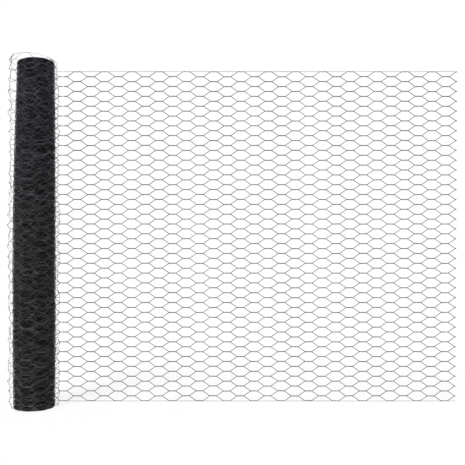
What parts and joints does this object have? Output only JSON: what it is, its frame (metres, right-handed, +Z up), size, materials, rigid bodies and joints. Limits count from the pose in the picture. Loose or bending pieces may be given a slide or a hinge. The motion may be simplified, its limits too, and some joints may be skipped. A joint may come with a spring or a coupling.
{
  "type": "roll of chicken wire",
  "caption": "Upright roll of black coated hexagonal wire netting, with its outer turn loose and its free end pulled out flat.",
  "frame": {"origin": "on the axis of the wound roll, at floor level", "axes": "+Z up the axis of the roll, +X towards the free end of the pulled-out netting, which passes the roll on its +Y side"},
  "size_m": [1.208, 0.1352, 0.914],
  "materials": {
    "coated_wire": "black plastic coat on steel wire, half gloss"
  },
  "bodies": {
    "root": {"wound_roll": "coated_wire", "loose_turn_01": "coated_wire", "loose_turn_02": "coated_wire", "loose_turn_03": "coated_wire", "loose_turn_04": "coated_wire", "loose_turn_05": "coated_wire", "loose_turn_06": "coated_wire", "loose_turn_07": "coated_wire", "loose_turn_08": "coated_wire", "loose_turn_09": "coated_wire", "loose_turn_10": "coated_wire", "loose_turn_11": "coated_wire", "loose_turn_12": "coated_wire", "pulled_out_1": "coated_wire", "pulled_out_2": "coated_wire", "pulled_out_3": "coated_wire", "pulled_out_4": "coated_wire", "pulled_out_5": "coated_wire", "pulled_out_6": "coated_wire"}
  },
  "joints": []
}
